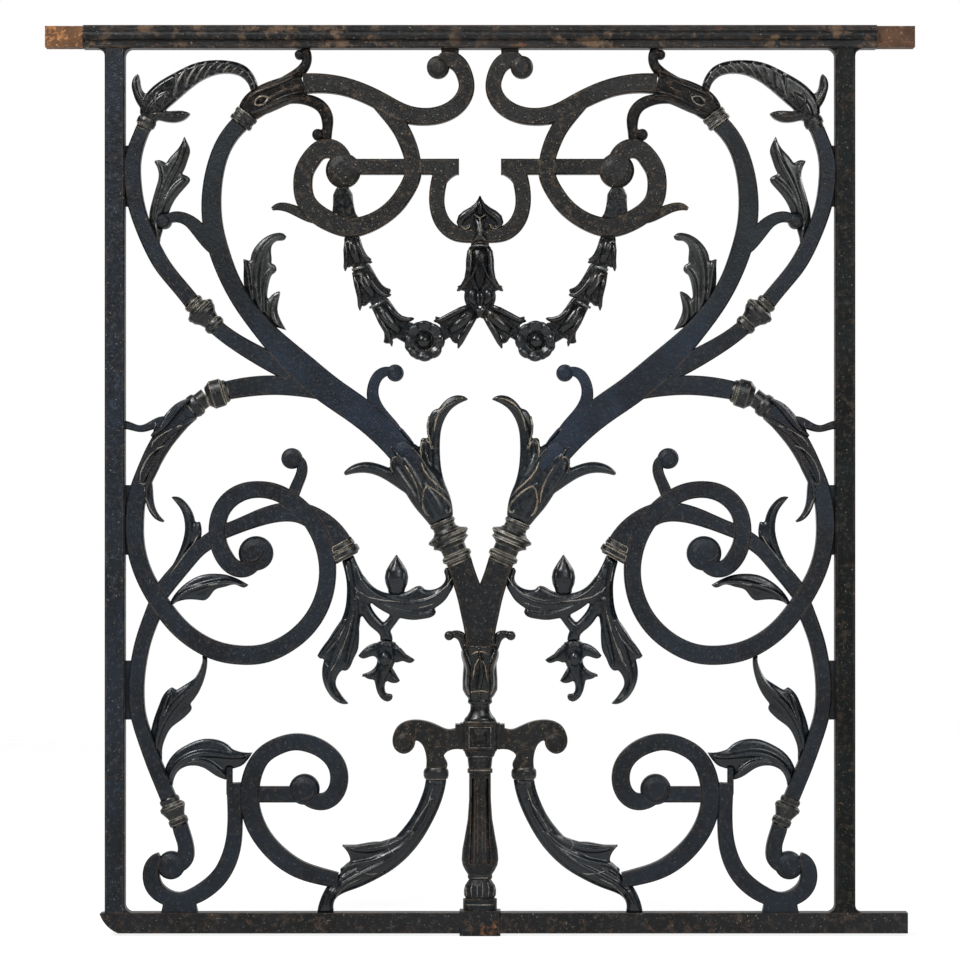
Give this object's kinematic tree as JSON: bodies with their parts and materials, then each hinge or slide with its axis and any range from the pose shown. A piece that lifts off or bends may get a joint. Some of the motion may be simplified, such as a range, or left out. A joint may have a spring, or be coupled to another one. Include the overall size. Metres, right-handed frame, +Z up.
{
  "type": "ornamental cast iron balcony railing panel",
  "caption": "Ornate cast iron balcony railing panel with scrolls, leaves, husk garlands, twisted horns and a fluted centre baluster in old blue-black paint with rust.",
  "frame": {"origin": "centre of the flat underside of the middle foot, on the panel's middle plane", "axes": "+X along the panel to its right end seen from the front, +Y from the front through the panel to the back, +Z up from the foot to the hand rail"},
  "size_m": [0.87, 0.034, 0.911],
  "materials": {
    "painted_iron": "old blue-black paint worn to brown rust, pitted and slightly glossy",
    "bare_rusty_iron": "bare ground iron with an even orange-brown rust"
  },
  "bodies": {
    "root": {"hand_rail": "painted_iron", "rail_ends": "bare_rusty_iron", "centre_foot": "painted_iron", "base_rail": "painted_iron", "left_stile": "painted_iron", "right_stile": "painted_iron", "baluster": "painted_iron", "boss": "painted_iron", "socket": "painted_iron", "collars": "painted_iron", "fork": "painted_iron", "socket_curls": "painted_iron", "left_main_scroll": "painted_iron", "right_main_scroll": "painted_iron", "left_outer_branch": "painted_iron", "right_outer_branch": "painted_iron", "left_top_scroll": "painted_iron", "right_top_scroll": "painted_iron", "left_ring_scroll": "painted_iron", "right_ring_scroll": "painted_iron", "beast_heads": "painted_iron", "horns": "painted_iron", "fret_bracket": "painted_iron", "rosettes": "painted_iron", "centre_drop": "painted_iron", "festoons": "painted_iron", "centre_finial": "painted_iron", "upper_leaves": "painted_iron", "calyxes": "painted_iron", "left_side_branch": "painted_iron", "right_side_branch": "painted_iron", "left_volute": "painted_iron", "right_volute": "painted_iron", "tendrils": "painted_iron", "volute_leaves": "painted_iron", "sprays": "painted_iron", "blooms": "painted_iron", "left_lower_stem": "painted_iron", "right_lower_stem": "painted_iron", "left_lower_volute": "painted_iron", "right_lower_volute": "painted_iron", "left_base_scroll": "painted_iron", "right_base_scroll": "painted_iron", "crossarm": "painted_iron", "left_acanthus_arm": "painted_iron", "right_acanthus_arm": "painted_iron", "lower_leaves": "painted_iron"}
  },
  "joints": []
}
